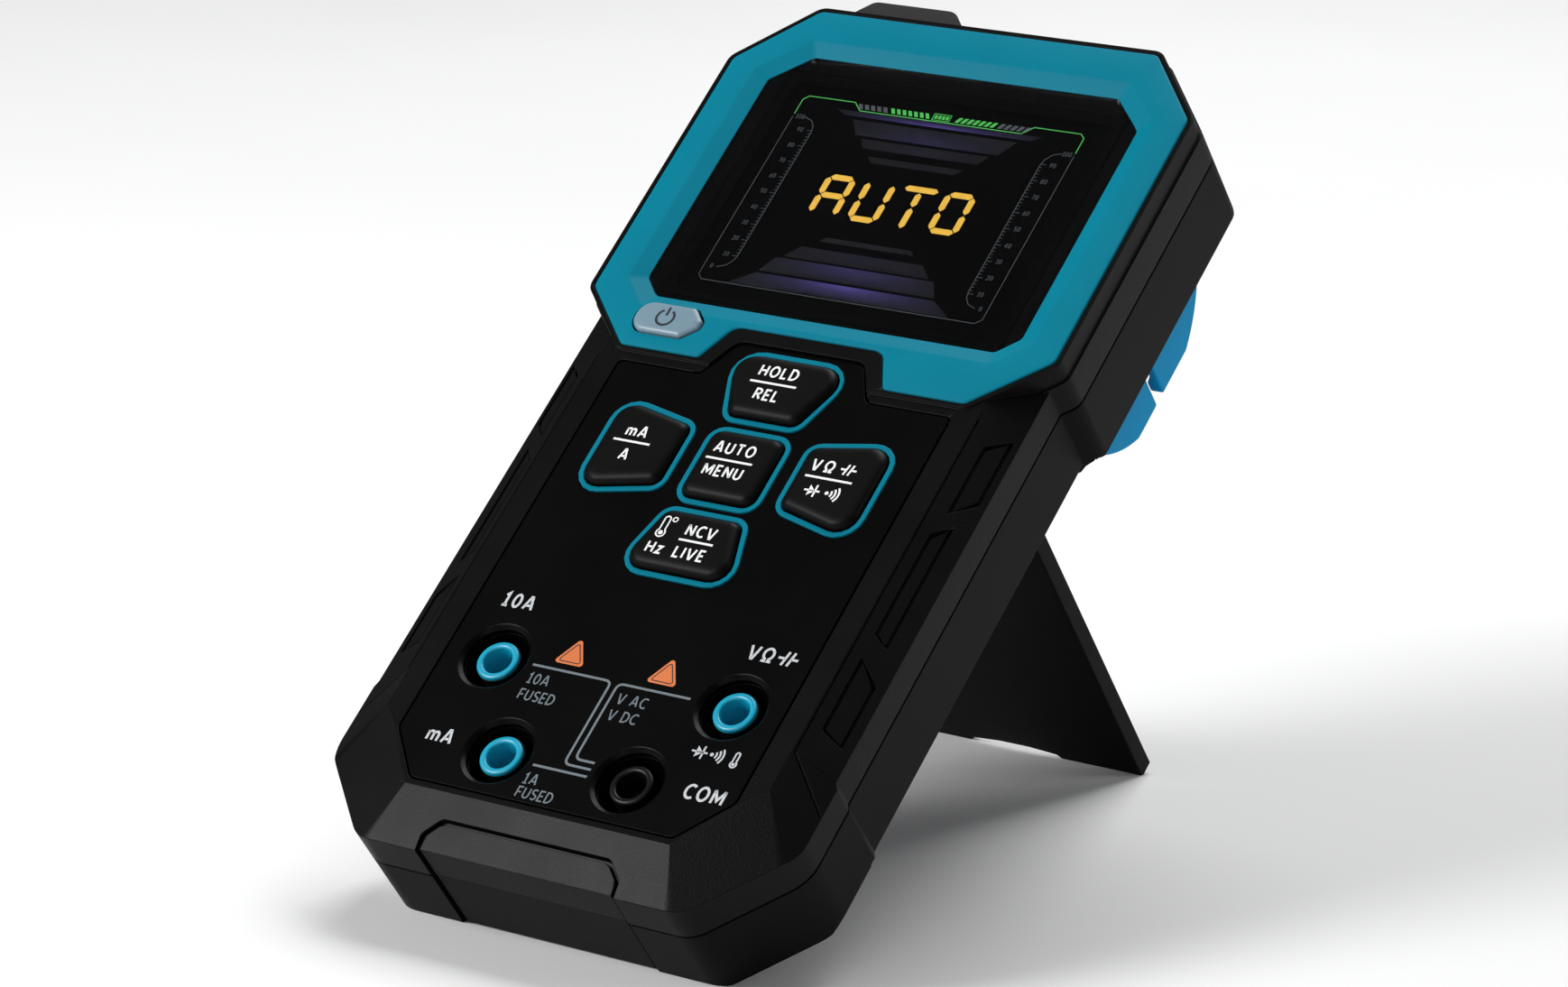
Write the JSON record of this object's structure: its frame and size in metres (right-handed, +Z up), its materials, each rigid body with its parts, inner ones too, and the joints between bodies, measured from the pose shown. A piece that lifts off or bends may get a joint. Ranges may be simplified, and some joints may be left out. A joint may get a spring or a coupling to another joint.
{
  "type": "digital multimeter",
  "caption": "Hand-held colour-display multimeter leaning on its folding kickstand, with pressable keys, recessed banana sockets and probe clips on the back.",
  "frame": {"origin": "centre of the footprint's bounding box, on the table the meter stands on", "axes": "+Z up, +X to the user's right along the kickstand hinge, +Y away from the user towards the kickstand foot"},
  "size_m": [0.0912, 0.1528, 0.1314],
  "materials": {
    "case_black": "fine-grained satin black ABS",
    "case_rear": "satin black ABS",
    "teal_plastic": "semi-gloss teal ABS",
    "lens_black": "polished acrylic window over a dark display",
    "display_ink": "lit colour display behind the window",
    "panel_black": "matt printed face panel",
    "key_black": "soft matt black",
    "power_grey": "light blue-grey translucent plastic",
    "jack_blue": "blue polypropylene",
    "jack_black": "black polypropylene",
    "brass": "bright turned brass",
    "steel": "plain steel",
    "board_green": "green solder mask",
    "white_plastic": "white diffuser plastic",
    "amber_film": "amber polyimide film",
    "silicone_grey": "grey silicone",
    "gasket_black": "black foam",
    "ceramic": "sand-filled ceramic fuse tube",
    "cell_green": "printed sleeve over a steel can",
    "copper_plate": "copper foil on board"
  },
  "bodies": {
    "case": {"front_shell": "case_black", "rear_shell": "case_rear", "display_bezel": "teal_plastic", "display_lens": "lens_black", "lens_gasket": "gasket_black", "lcd_panel": "display_ink", "lcd_backlight": "white_plastic", "lcd_flex": "amber_film", "front_panel": "panel_black", "key_surround": "teal_plastic", "key_mat": "silicone_grey", "jack_10a": "jack_blue", "jack_ma": "jack_blue", "jack_com": "jack_black", "jack_v": "jack_blue", "contact_10a": "brass", "contact_ma": "brass", "contact_com": "brass", "contact_v": "brass", "main_board": "board_green", "input_board": "board_green", "board_link": "jack_black", "shield_can": "steel", "chips": "jack_black", "buzzer": "jack_black", "fuse_10a": "ceramic", "fuse_ma": "ceramic", "fuse_caps": "steel", "fuse_clips": "brass", "battery_cells": "cell_green", "battery_plates": "steel", "battery_springs": "steel", "battery_cradle": "case_rear", "battery_door": "case_rear", "case_screws": "steel", "door_screws": "steel", "case_inserts": "brass", "stand_pin": "steel", "probe_clip_right": "jack_blue", "probe_clip_left": "jack_blue", "ncv_cap": "case_black", "ncv_sensor": "copper_plate"},
    "key_hold_cap_body": {"key_hold_cap": "key_black"},
    "key_current_cap_body": {"key_current_cap": "key_black"},
    "key_menu_cap_body": {"key_menu_cap": "key_black"},
    "key_volts_cap_body": {"key_volts_cap": "key_black"},
    "key_ncv_cap_body": {"key_ncv_cap": "key_black"},
    "power_key_body": {"power_key": "power_grey"},
    "kickstand_body": {"kickstand": "case_rear"}
  },
  "joints": [
    {"name": "kickstand_fold", "type": "hinge", "parent": "case", "child": "kickstand_body", "pos_m": [0, 0.01986, 0.06767], "axis": [-1, 0, 0], "range_deg": [0, 89]},
    {"name": "key_hold_press", "type": "slide", "parent": "case", "child": "key_hold_cap_body", "axis": [0, 0.6494, -0.7604], "range_m": [0, 0.001], "stiffness_N_per_m": 1200, "springref_m": -0.0004},
    {"name": "key_current_press", "type": "slide", "parent": "case", "child": "key_current_cap_body", "axis": [0, 0.6494, -0.7604], "range_m": [0, 0.001], "stiffness_N_per_m": 1200, "springref_m": -0.0004},
    {"name": "key_menu_press", "type": "slide", "parent": "case", "child": "key_menu_cap_body", "axis": [0, 0.6494, -0.7604], "range_m": [0, 0.001], "stiffness_N_per_m": 1200, "springref_m": -0.0004},
    {"name": "key_volts_press", "type": "slide", "parent": "case", "child": "key_volts_cap_body", "axis": [0, 0.6494, -0.7604], "range_m": [0, 0.001], "stiffness_N_per_m": 1200, "springref_m": -0.0004},
    {"name": "key_ncv_press", "type": "slide", "parent": "case", "child": "key_ncv_cap_body", "axis": [0, 0.6494, -0.7604], "range_m": [0, 0.001], "stiffness_N_per_m": 1200, "springref_m": -0.0004},
    {"name": "power_key_press", "type": "slide", "parent": "case", "child": "power_key_body", "axis": [0, 0.6494, -0.7604], "range_m": [0, 0.001], "stiffness_N_per_m": 1200, "springref_m": -0.0004}
  ]
}
